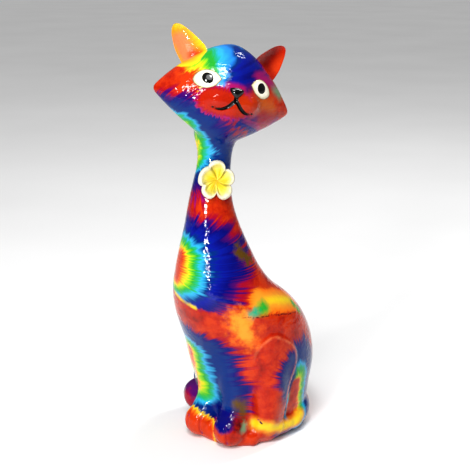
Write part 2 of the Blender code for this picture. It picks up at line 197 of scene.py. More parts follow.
# %% Head axes and head
HEAD_MIDDLE = (-1.6, -19, 207.3)
HEAD_TURNS = [(57, "Z"), (-8, "X"), (12.9, "Y")]
CHEEK = 42
CHEEK_TIP = 0.8
CHEEK_SWEEP = 4.8
CROWN = 31
CHIN = 21.5
FACE_DEPTH = 20.5
NAPE_DEPTH = 20
FACE_FORWARD = 3
JAW_LEVEL = -0.6
JAW_DROP = 3.5
CROWN_FULLNESS = 1.67
CHIN_FULLNESS = 1.2
FACE_FULLNESS = 1.35
NAPE_FULLNESS = 1.6
JAW_HOLLOW = 1.3
HEAD_RINGS = 140
MUZZLE_PAD = ((7.2, -16.4, -1.3), (9.2, 8, 7.2))

head_frame = Matrix.Translation(share(*HEAD_MIDDLE))
for degrees, axis in HEAD_TURNS:
    head_frame = head_frame @ Matrix.Rotation(math.radians(degrees), 4, axis)


def head(shape):
    rings = []
    for t in np.linspace(-1, 1, HEAD_RINGS + 1)[1:-1]:
        across = math.sin(t * math.pi / 2)
        out = abs(across)
        jaw = JAW_LEVEL - JAW_DROP * (1 - out**2)
        up = CROWN * (1 - out**CROWN_FULLNESS) + CHEEK_TIP - jaw
        down = CHIN * (1 - out**CHIN_FULLNESS) + CHEEK_TIP
        front = FACE_DEPTH * (1 - out**FACE_FULLNESS) + CHEEK_TIP
        back = NAPE_DEPTH * (1 - out**NAPE_FULLNESS) + CHEEK_TIP
        sweep = CHEEK_SWEEP * out**NAPE_FULLNESS - FACE_FORWARD
        ring = []
        for a in angles_round(RING_POINTS):
            y, z = math.cos(a), math.sin(a)
            if z < 0:
                y, z = math.copysign(abs(y) ** JAW_HOLLOW, y), -(abs(z) ** JAW_HOLLOW)
            y *= back if y > 0 else front
            z *= up if z > 0 else down
            ring.append(head_frame @ share(across * CHEEK, sweep + y, jaw + z))
        rings.append(ring)
    skin(shape, rings)


def muzzle_pads(shape):
    (x, y, z), radii = MUZZLE_PAD
    stretch = Matrix.Diagonal((*share(*radii), 1))
    for side in (-1, 1):
        place = head_frame @ Matrix.Translation(share(side * x, y, z))
        bmesh.ops.create_icosphere(shape, subdivisions=5, radius=1, matrix=place @ stretch)


print("head width in shares:", 2 * (CHEEK + CHEEK_TIP))

# %% [markdown]
# ## Legs, feet and tail
#
# The limbs swell and bend, and they have no edges. Lofts would need rings set square to every bend. A
# string of balls along a curve is simpler, with the balls so close together that they melt into one form in
# the next step. Each row is a place and a radius.

# %% Limbs as strings of balls
LEFT_THIGH = [(22.9, -9.6, 56, 14), (22, -7.2, 42, 15), (22.4, -7.9, 28, 14), (21.6, -8.6, 16, 12.5)]
RIGHT_THIGH = [(-24.8, -1, 54, 13), (-24.3, 2, 42, 13.5), (-24.2, 1, 28, 13.5), (-23.5, 0, 16, 12.5)]
LEFT_LEG = [
    (9, -23, 57, 12), (9.5, -21.8, 45, 11.6), (10.5, -21, 25, 10.4), (11.5, -25.5, 12, 10.8),
    (12, -30, 9.8, 10.4),
]
RIGHT_LEG = [
    (-8, -22.5, 57, 12), (-9, -20.8, 45, 11), (-9.5, -19.5, 25, 9.6), (-11, -25.5, 12, 10),
    (-11.2, -30, 9.8, 10),
]
LEFT_HIND_FOOT = [(27, 2, 9, 9), (25, -7, 9, 9), (21, -14, 8, 8.5)]
RIGHT_HIND_FOOT = [(-24, 4, 12, 10), (-25, -7, 15, 10.5), (-25.5, -14, 17, 10)]
PAW_WEB = [(-10, -27, 5, 6.8), (0.5, -28, 5, 7.2), (11, -28, 5, 6.8), (20, -21.5, 4.6, 6.2)]
TAIL = [
    (-12, 38, 10, 8), (2, 37.5, 11.5, 10.5), (15, 29.5, 11.5, 10.5), (24.5, 19.5, 11, 10),
    (29, 9, 9, 8.5),
]
BALLS_IN_LIMB = 36


def limbs(paths, shape):
    """Draws limbs with round ends along the paths."""
    for path in paths:
        for x, y, z, radius in smooth_path(path, BALLS_IN_LIMB):
            place = Matrix.Translation(share(x, y, z))
            bmesh.ops.create_icosphere(shape, subdivisions=3, radius=share(radius), matrix=place)


thighs_and_legs = partial(limbs, [LEFT_THIGH, RIGHT_THIGH, LEFT_LEG, RIGHT_LEG])
feet_and_tail = partial(limbs, [LEFT_HIND_FOOT, RIGHT_HIND_FOOT, PAW_WEB, TAIL])
print("limbs have", BALLS_IN_LIMB, "balls each")

# %% [markdown]
# ## The ears
#
# Each ear is a cupped leaf with a rounded rim, wide at the foot and drawn to a blunt tip. A flat outline
# with a thickness would have no cup, so the ear is a loft too. Its rows give the inner and outer edge at
# each height, and across a row the leaf bows backwards.

# %% Ears
EAR_FOOT = Vector((20.9, -1.65, 21.25))
EAR_TIP = Vector((31.9, 5.7, 37.3))
EAR_ACROSS = Vector((0.775, 0.169, -0.609))
EAR_ROWS = [
    (-9, -8.1, 8.4), (-4, -8.2, 8.6), (0, -8.1, 8.7), (4, -7.5, 8.6), (8, -6.4, 8.3), (12, -5.1, 7.4),
    (15, -4, 6.5), (17.5, -2.9, 5.6), (19.5, -1.6, 4.4), (20.7, -0.4, 3.4), (21.4, 0.9, 2.2),
]
EAR_CUP = 3.6
EAR_FORWARD = 1.44
EAR_WALL = 2.3
CUP_FROM = 7
WALL_FROM = 5
EAR_SIDES = 64
EAR_RINGS = 60


def ear(side, shape):
    """Draws one cupped ear; side is 1 for the head's left ear."""
    along = (EAR_TIP - EAR_FOOT).normalized()
    across = (EAR_ACROSS - along * EAR_ACROSS.dot(along)).normalized()
    back = along.cross(across)
    rings = []
    for v, inner, outer in smooth_table(EAR_ROWS, EAR_RINGS):
        middle, half = (inner + outer) / 2, (outer - inner) / 2
        cup = EAR_CUP * min(1, half / CUP_FROM)
        wall = EAR_WALL / 2 * min(1, half / WALL_FROM)
        ring = []
        for a in angles_round(EAR_SIDES):
            u = math.cos(a)
            depth = cup * (1 - u**2) + wall * (1 + math.sin(a) * (1 - u**2 / 4)) - EAR_FORWARD
            point = EAR_FOOT + along * v + across * (middle + half * u) + back * depth
            ring.append(head_frame @ share(side * point.x, point.y, point.z))
        rings.append(ring)
    skin(shape, rings)


print("ear length in shares:", round((EAR_TIP - EAR_FOOT).length, 1))

# %% [markdown]
# ## One casting
#
# The real cat is one casting, so its forms flow into each other. A Boolean would leave sharp corners
# between them. The Remesh modifier wraps them in one closed skin of small even cells instead, and the
# Smooth modifier rounds the corners. Smoothing spreads with the square root of its steps, so the steps
# follow from the radius that is wanted. The feet and the tail melt in less than the thighs, so there are
# two passes.

# %% Fuse the forms
CELL = 0.95
DEEP_BLEND = 4.4
FOOT_BLEND = 2


def add(name, data):
    """A new object in the scene."""
    made = bpy.data.objects.new(name, data)
    bpy.context.scene.collection.objects.link(made)
    return made


def drawn(name, *builders):
    """A new mesh of all that the builders draw."""
    mesh = bpy.data.meshes.new(name)
    shape = bmesh.new()
    for builder in builders:
        builder(shape)
    bmesh.ops.recalc_face_normals(shape, faces=shape.faces)
    shape.to_mesh(mesh)
    shape.free()
    mesh.shade_smooth()
    return mesh


def evaluated(item):
    """The mesh of an object after its modifiers."""
    bpy.context.view_layer.update()
    graph = bpy.context.evaluated_depsgraph_get()
    return bpy.data.meshes.new_from_object(item.evaluated_get(graph))


def fused(blend, *builders):
    """One closed skin over all that the builders draw, its corners rounded by blend."""
    rough = add("rough", drawn("rough", *builders))
    fuse = rough.modifiers.new("Fuse", "REMESH")
    fuse.mode = "VOXEL"
    fuse.voxel_size = share(CELL)
    fuse.use_smooth_shade = True
    ease = rough.modifiers.new("Ease", "SMOOTH")
    ease.factor = 0.5
    ease.iterations = max(1, round((blend / CELL) ** 2))
    mesh = evaluated(rough)
    bpy.data.objects.remove(rough)
    return mesh


def again(mesh, shape):
    """Draws a mesh made before."""
    shape.from_mesh(mesh)


body_form = fused(DEEP_BLEND, trunk, head, muzzle_pads, thighs_and_legs)
footed_form = fused(FOOT_BLEND, partial(again, body_form), feet_and_tail)
print("cells in the fused skin:", len(footed_form.polygons))

# %% [markdown]
# ## Thin ears
#
# The ears run out to a rim thinner than one cell, so the Remesh modifier would leave them ragged. An exact
# Boolean joins them to the head instead and keeps their own fine rings. Then only the points close to both
# surfaces are smoothed, which eases the corner between them.


# %% Join the ears
def mesh_points(mesh):
    """The mesh's points and their normals, as two tables."""
    count = len(mesh.vertices)
    places, normals = np.empty(count * 3), np.empty(count * 3)
    mesh.vertices.foreach_get("co", places)
    mesh.vertex_normals.foreach_get("vector", normals)
    return places.reshape(-1, 3), normals.reshape(-1, 3)


def move_points(mesh, places):
    mesh.vertices.foreach_set("co", places.ravel())
    mesh.update()


def search_tree(mesh):
    return BVHTree.FromPolygons([v.co for v in mesh.vertices], [list(p.vertices) for p in mesh.polygons])


def joined(mesh, *builders):
    """One closed skin of the mesh and what each builder draws, joined exactly."""
    whole = add("whole", mesh)
    helpers = []
    for builder in builders:
        helpers.append(add("helper", drawn("helper", builder)))
        step = whole.modifiers.new("Join", "BOOLEAN")
        step.operation = "UNION"
        step.solver = "EXACT"
        step.object = helpers[-1]
    result = evaluated(whole)
    for item in (whole, *helpers):
        bpy.data.objects.remove(item)
    return result


cat_form = joined(footed_form, partial(ear, 1), partial(ear, -1))
print("faces with the ears:", len(cat_form.polygons))

# %% Ease the corner
EARS_ABOVE = 212
EAR_CORNER = 0.9
EAR_CORNER_STEPS = 6


def smooth_points(shape, points, steps):
    """Moves the points towards the middle of their neighbours."""
    axes = {"use_axis_x": True, "use_axis_y": True, "use_axis_z": True}
    for _ in range(steps):
        bmesh.ops.smooth_vert(shape, verts=points, factor=0.5, **axes)


head_tree = search_tree(footed_form)
ear_tree = search_tree(drawn("ear_lofts", partial(ear, 1), partial(ear, -1)))
shape = bmesh.new()
shape.from_mesh(cat_form)
corner = [
    vertex
    for vertex in shape.verts
    if vertex.co.z > share(EARS_ABOVE)
    and head_tree.find_nearest(vertex.co)[3] < share(EAR_CORNER)
    and ear_tree.find_nearest(vertex.co)[3] < share(EAR_CORNER)
]
smooth_points(shape, corner, EAR_CORNER_STEPS)
shape.to_mesh(cat_form)
shape.free()
cat_form.shade_smooth()
print("points eased at the ears:", len(corner))

# %% [markdown]
# ## The thigh's border
#
# A rounded step runs round each haunch. It is too fine for the fused forms, so it is a relief: the skin
# inside an outline moves out along its normals. The outline is drawn in degrees round the cat and in height.
# The step dies away towards the front leg and the thigh's middle.


# %% Distances from lines
def distance_to_line(places, line):
    """How far each place is from a line of points, and its nearest point's share of the way along."""
    nearest = np.full(len(places), np.inf)
    along = np.zeros(len(places))
    for k, (start, end) in enumerate(zip(line, line[1:])):
        start, way = np.array(start), np.array(end) - np.array(start)
        t = np.clip((places - start) @ way / (way @ way), 0, 1)
        gap = np.linalg.norm(places - start - t[:, None] * way, axis=1)
        closer = gap < nearest
        nearest[closer] = gap[closer]
        along[closer] = (k + t[closer]) / (len(line) - 1)
    return nearest, along


def inside_distance(places, outline):
    """How far each place lies inside a closed outline in the plane; negative outside."""
    closed = [*outline, outline[0]]
    inside = np.zeros(len(places), bool)
    for (x, y), (next_x, next_y) in zip(closed, closed[1:]):
        crosses = (y > places[:, 1]) != (next_y > places[:, 1])
        rise = next_y - y or 1e-9
        inside ^= crosses & (places[:, 0] < x + (places[:, 1] - y) * (next_x - x) / rise)
    nearest, _ = distance_to_line(places, closed)
    return np.where(inside, nearest, -nearest)


# %% Thigh borders
THIGH_BORDER = [
    (60, 40), (50, 62.2), (40.4, 70.6), (31.5, 72.6), (20.5, 68.7), (11.7, 62.5), (7.7, 56.5),
    (8.5, 48.5), (14, 35.6), (18.3, 22), (21, 6), (50, 0),
]
THIGH_AXIS_Y = 5
THIGH_AXIS_REACH = 41
THIGH_STEP = 1.5
THIGH_STEP_WIDTH = 2.4
THIGH_STEP_LEFT_INSIDE = 0.35
THIGH_STEP_FADE = 13
THIGH_FRONT = (44, 60)
RIGHT_THIGH_BEHIND = 20


def thigh_sides(places):
    """For each thigh: how deep each place lies inside its border, and a share that is 0 at the front leg."""
    reach = math.radians(THIGH_AXIS_REACH)
    border = [(degrees * reach, z) for degrees, z in smooth_loop(THIGH_BORDER, 8 * len(THIGH_BORDER))]
    fade_from, fade_to = THIGH_FRONT
    for side, behind in ((1, 0), (-1, RIGHT_THIGH_BEHIND)):
        degrees = np.degrees(np.arctan2(THIGH_AXIS_Y - places[:, 1], side * places[:, 0])) + behind
        depth = inside_distance(np.column_stack([degrees * reach, places[:, 2]]), border)
        yield depth, np.clip((fade_to - degrees) / (fade_to - fade_from), 0, 1)


places, normals = mesh_points(cat_form)
lift = np.zeros(len(places))
for depth, front in thigh_sides(places / SHARE):
    step = np.clip(depth / THIGH_STEP_WIDTH + 0.5, 0, 1)
    fade = np.exp(-np.maximum(depth, 0) / THIGH_STEP_FADE)
    kept = THIGH_STEP_LEFT_INSIDE + (1 - THIGH_STEP_LEFT_INSIDE) * fade
    lift += THIGH_STEP * step**2 * (3 - 2 * step) * front * kept
move_points(cat_form, places + normals * (lift * SHARE)[:, None])
print("highest relief in shares:", round(float(lift.max()), 2))

# %% [markdown]
# ## Lines cut into the face and the paws
#
# The mouth and the clefts between the toes are grooves narrower than two cells of the skin. A skin fine
# enough all over would have sixteen times the faces, so it is divided again along each line, twice, and
# only there. Each line is laid on the skin by rays, and each point near it sinks by its distance from the
# line.

# %% Lay lines on the skin
MOUTH_LINE = [(0.1, 1.2), (0.2, -0.8), (1.6, -2.4), (3.6, -4.6), (6.4, -6.4), (9.2, -6.9), (11.8, -6.2)]
TOE_LINES = [
    ((6.2, -45, 16), (6.4, -45, 4)), ((15.6, -45, 15.5), (16.4, -45, 4)),
    ((-5.6, -45, 15.5), (-5.8, -45, 4)), ((-14.6, -45, 15), (-15.2, -45, 4)),
    ((27.9, -27, 17.1), (29.4, -25.6, 14.9)),
]
MOUTH_STEPS = 40
TOE_STEPS = 8

skin_tree = search_tree(cat_form)


def lay_on_face(x, z):
    """The skin's point seen at x and z from the front of the head, in the head's axes."""
    inward = head_frame.to_3x3() @ Vector((0, 1, 0))
    hit, _, _, _ = skin_tree.ray_cast(head_frame @ share(x, -2 * CHEEK, z), inward)
    return head_frame.inverted() @ hit


def lay_on_paw(point):
    """The skin's point met from a point before the paws, on a level way back and a little inwards."""
    inward = Vector((-point.x / 4, THIGH_AXIS_Y - point.y, 0)).normalized()
    hit, _, _, _ = skin_tree.ray_cast(share(*point), inward)
    return hit


mouth_lines = []
for side in (-1, 1):
    spots = [(side * x, z) for x, z in smooth_path(MOUTH_LINE, MOUTH_STEPS)]
    mouth_lines.append([head_frame @ lay_on_face(*spot) for spot in spots])
toe_lines = []
for top, foot in TOE_LINES:
    spots = [Vector(top).lerp(Vector(foot), k / TOE_STEPS) for k in range(TOE_STEPS + 1)]
    toe_lines.append([lay_on_paw(spot) for spot in spots])
print("grooves:", len(mouth_lines) + len(toe_lines))

# %% Divide the skin
FINE_SKIN_REACH = 2.6


def divide(mesh, near):
    """Cuts each cell whose points are all near into four, and evens out the new points."""
    shape = bmesh.new()
    shape.from_mesh(mesh)
    edges = [edge for edge in shape.edges if near[edge.verts[0].index] and near[edge.verts[1].index]]
    made = bmesh.ops.subdivide_edges(shape, edges=edges, cuts=1, use_grid_fill=True)
    fresh = [item for item in made["geom"] if isinstance(item, bmesh.types.BMVert)]
    smooth_points(shape, fresh, 3)
    shape.to_mesh(mesh)
    shape.free()
    mesh.shade_smooth()


for _ in range(2):
    places, _ = mesh_points(cat_form)
    nearest = np.min([distance_to_line(places, line)[0] for line in mouth_lines + toe_lines], axis=0)
    divide(cat_form, nearest < share(FINE_SKIN_REACH))
print("faces after dividing:", len(cat_form.polygons))

# %% Sink the grooves
MOUTH_GROOVE = {"width": 0.8, "depth": 0.75, "taper": 0.06}
TOE_GROOVE = {"width": 0.8, "depth": 0.8, "taper": 0.2}
HIND_TOE_GROOVE = {"width": 0.6, "depth": 0.6, "taper": 0.3}


def sink(mesh, line, width, depth, taper):
    """Presses a round-bottomed groove into the mesh along line, shallower at its ends."""
    places, normals = mesh_points(mesh)
    gap, along = distance_to_line(places, line)
    ends = np.clip(np.minimum(along, 1 - along) / taper, 0, 1)
    down = share(depth) * np.exp(-((gap / share(width)) ** 2)) * np.sqrt(ends)
    move_points(mesh, places - normals * down[:, None])


for line in mouth_lines:
    sink(cat_form, line, **MOUTH_GROOVE)
for line in toe_lines[:-1]:
    sink(cat_form, line, **TOE_GROOVE)
sink(cat_form, toe_lines[-1], **HIND_TOE_GROOVE)
print("grooves sunk:", len(mouth_lines) + len(toe_lines))

# %% [markdown]
# ## Flat below
#
# A casting stands on a ground base. Points pressed flat would crowd into folds at the edge, so all below
# the table's height is cut away and the opening is closed.

# %% Cut the base
shape = bmesh.new()
shape.from_mesh(cat_form)
everything = [*shape.verts, *shape.edges, *shape.faces]
table = {"plane_co": (0, 0, 0), "plane_no": (0, 0, -1)}
cut = bmesh.ops.bisect_plane(shape, geom=everything, clear_outer=True, **table)
rim = [item for item in cut["geom_cut"] if isinstance(item, bmesh.types.BMEdge)]
for face in bmesh.ops.holes_fill(shape, edges=rim)["faces"]:
    face.smooth = False
shape.to_mesh(cat_form)
shape.free()
places, _ = mesh_points(cat_form)
print("points on the base:", int(np.sum(places[:, 2] < share(0.01))))

# %% [markdown]
# ## Numbers for the painter
#
# A material can't measure how far a spot is from the mouth or the thigh's border, but Python can: it stores
# such distances as numbers on the mesh's points.

# %% Store distances on the skin
DOME_WIDTH = 11
MOUTH_NARROWING = 0.5


def store(mesh, name, values):
    """Keeps a number for each point of the mesh, for its material to read."""
    numbers = mesh.attributes.new(name, "FLOAT", "POINT").data
    numbers.foreach_set("value", np.asarray(values, np.float32))


def gap_to(places, lines, narrowing=0):
    """Each place's distance to the nearest line. Narrowing makes it grow towards a line's far end."""
    gaps = []
    for line in lines:
        gap, along = distance_to_line(places, line)
        gaps.append(gap / (1 - narrowing * along**2))
    return np.min(gaps, axis=0) / SHARE


store(cat_form, "mouth", gap_to(places, mouth_lines, MOUTH_NARROWING))
store(cat_form, "toes", gap_to(places, toe_lines))
domes = [np.clip(depth / DOME_WIDTH, 0, 1) * front for depth, front in thigh_sides(places / SHARE)]
store(cat_form, "dome", np.max(domes, axis=0))
print("points with stored numbers:", len(places))

# %% [markdown]
# ## In its place
#
# The middle of the cat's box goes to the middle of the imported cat's box, and points that stick out of that
# box by a hair are pressed back into it. The same shift serves for every other piece, because all are built
# in the same axes.

# %% Set the cat in its place
own_middle = (places.min(axis=0) + places.max(axis=0)) / 2
shift = (cat_low + cat_high) / 2 - Vector(own_middle)
shift.z = 0
move_points(cat_form, np.clip(places, cat_low - shift, cat_high - shift))


def piece(name, mesh, node="cat_figure"):
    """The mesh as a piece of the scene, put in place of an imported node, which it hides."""
    mesh.transform(Matrix.Translation(shift))
    made = add(name, mesh)
    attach(made, "root")
    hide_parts(node)
    return made


cat = piece("cat_skin", cat_form)
print("shift in mm:", [round(value * 1000, 2) for value in shift])

# %% [markdown]
# ## Eyes and nose
#
# The eyes are low pads with a flat top, and the pupils are shallow domes on them. Each has its own colour,
# so here each is a mesh of its own. Every ring of a pad is laid on the skin by rays, so a pad follows the
# cheek's curve.

# %% Pads on the face
EYE_OUTLINE = [
    (8.6, 9.6), (10.1, 11.7), (12.1, 13.2), (14.4, 14), (17, 13.9), (19.8, 12.6), (22, 10.4),
    (23.1, 7.4), (21.7, 4.9), (18.2, 3.4), (14.4, 4), (11.3, 6),
]
NOSE_OUTLINE = [
    (-4.2, 4.9), (-3.4, 5.9), (0, 6.3), (3.4, 5.9), (4.2, 4.9), (3.2, 3), (1.5, 1.4), (0, 0.7),
    (-1.5, 1.4), (-3.2, 3),
]
EYE_RAISE = 0.9
PUPIL_MIDDLE = (16, 9.1)
PUPIL_RADIUS = 3.3
PUPIL_RAISE = 0.5
PUPIL_SUNK = 0.15
NOSE_RAISE = 1.4
EYE_FLATNESS = 5
DOME_FLATNESS = 2.5
PAD_SIDES = 96
PAD_PARTS = np.linspace(0.03, 1, 22)
PAD_DEPTH = 0.8


def face_pad(outline, height, flatness, base, shape):
    """Draws a pad inside outline on the face: flatness 2 gives a dome, more gives a flatter top."""
    edge = smooth_loop(outline, PAD_SIDES)
    middle = np.mean(edge, axis=0)
    rings = []
    for part in PAD_PARTS:
        lift = Vector((0, -share(base + height * (1 - part**flatness)), 0))
        spots = [middle + (np.array(spot) - middle) * part for spot in edge]
        rings.append([head_frame @ (lay_on_face(*spot) + lift) for spot in spots])
    sunk = Vector((0, share(PAD_DEPTH), 0))
    rings.append([head_frame @ (lay_on_face(*spot) + sunk) for spot in edge])
    skin(shape, rings)


print("rings in a pad:", len(PAD_PARTS) + 1)

# %% Eyes, pupils and nose
eyes, pupils = [], []
for side, name in ((1, "left"), (-1, "right")):
    white = [(side * x, z) for x, z in EYE_OUTLINE]
    x, z = side * PUPIL_MIDDLE[0], PUPIL_MIDDLE[1]
    black = [(x + PUPIL_RADIUS * math.cos(a), z + PUPIL_RADIUS * math.sin(a)) for a in angles_round(12)]
    pad = drawn(name + "_eye", partial(face_pad, white, EYE_RAISE, EYE_FLATNESS, 0))
    raised = EYE_RAISE - PUPIL_SUNK
    dome = drawn(name + "_pupil", partial(face_pad, black, PUPIL_RAISE, DOME_FLATNESS, raised))
    store(pad, "rim", [*np.repeat([*PAD_PARTS, 1], PAD_SIDES), 0, 1])
    eyes.append(piece(name + "_eye", pad))
    pupils.append(piece(name + "_pupil", dome))
nose = piece("nose", drawn("nose", partial(face_pad, NOSE_OUTLINE, NOSE_RAISE, DOME_FLATNESS, 0)))
print("face pieces:", [item.name for item in (*eyes, *pupils, nose)])

# %% [markdown]
# ## The flower
#
# The flower is pressed by hand: five petals that overlap like a fan, each with a thick rolled rim, and
# creases that run in to a sunk middle. Five separate petals would cut through each other, so it is one
# height field over a round plan, with a swirl that grows towards the middle.

# %% Flower plan
FLOWER_WIDTH = 23.4
FLOWER_THICKNESS = 2.8
FLOWER_GAP = 0.3
NECK_MIDDLE = (-5, -25.6, 163)
FLOWER_FACING = 55
FLOWER_LEAN = 12
NOTCHES_AND_TIPS = [
    (-22, 0.75), (12, 0.93), (49, 0.71), (84, 1), (117, 0.82), (175, 0.95),
    (197, 0.78), (234, 1), (263, 0.61), (298, 1.03), (338, 0.75), (372, 0.93),
]
PETAL_ROUNDNESS = 2.6
FLOWER_SIDES = 240
FLOWER_PARTS = np.linspace(0.02, 1, 44)
SWIRL = 24


def flower_place():
    """The flower's place: its z faces away from the neck and its y is up the neck."""
    facing = math.radians(FLOWER_FACING)
    out = Vector((math.sin(facing), -math.cos(facing), 0))
    hit, _, _, _ = skin_tree.ray_cast(share(*NECK_MIDDLE) + out * share(CHEEK), -out)
    turn = Matrix.Rotation(facing, 4, "Z") @ Matrix.Rotation(math.radians(90 - FLOWER_LEAN), 4, "X")
    place = Matrix.Translation(hit) @ turn
    outward = place.to_3x3() @ Vector((0, 0, 1))
    half = share(FLOWER_WIDTH) / 2
    steps = np.linspace(-half, half, 25)
    spots = [(x, y) for x in steps for y in steps if math.hypot(x, y) < half]
    under = [skin_tree.ray_cast(place @ Vector((x, y, half)), -outward)[0] for x, y in spots]
    highest = max(0, *[(place.inverted() @ hit).z for hit in under if hit])
    return Matrix.Translation(outward * (highest + share(FLOWER_GAP))) @ place


def petal_reach(angle):
    """The flower's reach at angle in degrees, how near a notch that is, and on which side of its petal."""
    angle %= 360
    k = max(k for k, (direction, _) in enumerate(NOTCHES_AND_TIPS) if direction <= angle)
    (start, reach), (end, next_reach) = NOTCHES_AND_TIPS[k : k + 2]
    from_notch = k % 2 == 0
    t = (angle - start) / (end - start)
    near = 1 - t if from_notch else t
    tip, notch = (next_reach, reach) if from_notch else (reach, next_reach)
    return tip + (notch - tip) * near**PETAL_ROUNDNESS, near, 1 if from_notch else -1


print("petals:", len(NOTCHES_AND_TIPS) // 2 - 1)

# %% Flower height field
RIM_RISE, RIM_AT, RIM_WIDTH = 0.36, 0.86, 0.13
CREASE = (-0.3, (1, 0.16), (0.75, 0.35))
FURROW = (-0.14, (0.3, 0.14), (0.52, 0.2))
OVERLAP = (0.16, (0.7, 0.25), (0.55, 0.35))
EDGE_FROM, EDGE_DROP = 0.88, 0.72
BACK_SHARE = 0.42
CREASE_SHADE_WIDTH = 0.14


def ridge(value, middle, width):
    """A smooth bump, 1 where value is middle and nearly 0 beyond width."""
    return math.exp(-(((value - middle) / width) ** 2))


def petal_height(part, near, side, angle):
    """The flower's height as a share of its thickness: a dish, a rolled rim, creases and overlaps."""

    def fold(height, across, outwards):
        return height * ridge(near, *across) * ridge(part, *outwards)

    dish = 0.3 + 0.32 * part + 0.06 * math.sin(2 * angle + 5 * part)
    rim = RIM_RISE * ridge(part, RIM_AT + 0.03 * math.sin(3 * angle), RIM_WIDTH)
    return dish + rim + fold(*CREASE) + fold(*FURROW) * (1 + side) / 2 + fold(*OVERLAP) * side


print("height in mid petal, as a share:", round(petal_height(0.5, 0, 1, 0), 3))


# %% Draw the flower
def flower(place, shape):
    """Draws the flower at its place: rings from the middle to the edge, and a smaller one behind."""
    half = share(FLOWER_WIDTH) / 2
    rings = []
    for part in FLOWER_PARTS:
        edge = max(0, (part - EDGE_FROM) / (1 - EDGE_FROM))
        thickness = share(FLOWER_THICKNESS) * (1 - EDGE_DROP * edge**2.4)
        ring = []
        for a in angles_round(FLOWER_SIDES):
            reach, _, _ = petal_reach(math.degrees(a))
            _, near, side = petal_reach(math.degrees(a) + SWIRL * (1 - part))
            height = thickness * petal_height(part, near, side, a)
            radius = half * reach * part
            ring.append(place @ Vector((radius * math.cos(a), radius * math.sin(a), height)))
        rings.append(ring)
    back = half * BACK_SHARE
    circle = [Vector((back * math.cos(a), back * math.sin(a), 0)) for a in angles_round(FLOWER_SIDES)]
    rings.append([place @ point for point in circle])
    skin(shape, rings)


flower_form = drawn("flower", partial(flower, flower_place()))
parts = [*FLOWER_PARTS, 1]
degrees = [math.degrees(a) + SWIRL * (1 - part) for part in parts for a in angles_round(FLOWER_SIDES)]
# How much painted shade each point of the flower takes in its creases.
creases = [ridge(petal_reach(angle)[1], 1, CREASE_SHADE_WIDTH) for angle in degrees]
store(flower_form, "rim", [*np.repeat(parts, FLOWER_SIDES), 0, 1])
store(flower_form, "crease", [*creases, 1, 1])
bloom = piece("flower", flower_form, "neck_flower")
print("flower faces:", len(bloom.data.polygons))

# %% [markdown]
# ## A palette
#
# Colours are read from a screen, in its own scale, and Blender counts in even steps of light, so each is
# converted when it is used. The standard view keeps these bright paints pure, where Blender's usual view
# would dull them.

# %% Colours
bpy.context.scene.view_settings.view_transform = "Standard"
bpy.context.scene.view_settings.look = "Medium High Contrast"

PALETTE = {
    "red": "a42008", "deep red": "760e05", "red orange": "b8340c", "orange": "e26e16",
    "amber": "dc8e28", "yellow": "dcbc20", "lime": "82bc1e", "green": "289630",
    "teal": "1f9a78", "cyan": "309cc8", "sky": "2478c8", "blue": "022a6c",
    "deep blue": "081884", "navy": "070864", "purple": "4a0a5c", "crimson": "900a28",
    "magenta": "94145c", "olive": "5a4012", "grey green": "6f8a6a", "pink orange": "e07c50",
    "rust": "b4541c", "brick": "a62e08", "maroon": "4a0810", "black": "060606",
}


def colour(text):
    """A colour in Blender's light scale, from its name in the palette or its six letters on a screen."""
    letters = PALETTE.get(text, text)
    parts = [int(letters[k : k + 2], 16) / 255 for k in (0, 2, 4)]
    return (*[((c + 0.055) / 1.055) ** 2.4 if c > 0.04045 else c / 12.92 for c in parts], 1)


print("colours:", len(PALETTE))

# %% [markdown]
# ## Arithmetic with surfaces
#
# A material is a sum of simple rules: near this line, beyond that radius, where this noise is high. In
# Blender each step is a node, and hundreds of nodes are hard to read. The small class below wraps one
# output of a node, so that `1 - mask` or `place * 3` adds the right node and gives back its output.


# %% A field over a surface
def operator(operation):
    """The two methods of one operator: for a field before its sign, and for one after it."""

    def before(self, other):
        return self.calculate(operation, self, other)

    def after(self, other):
        return self.calculate(operation, other, self)

    return before, after


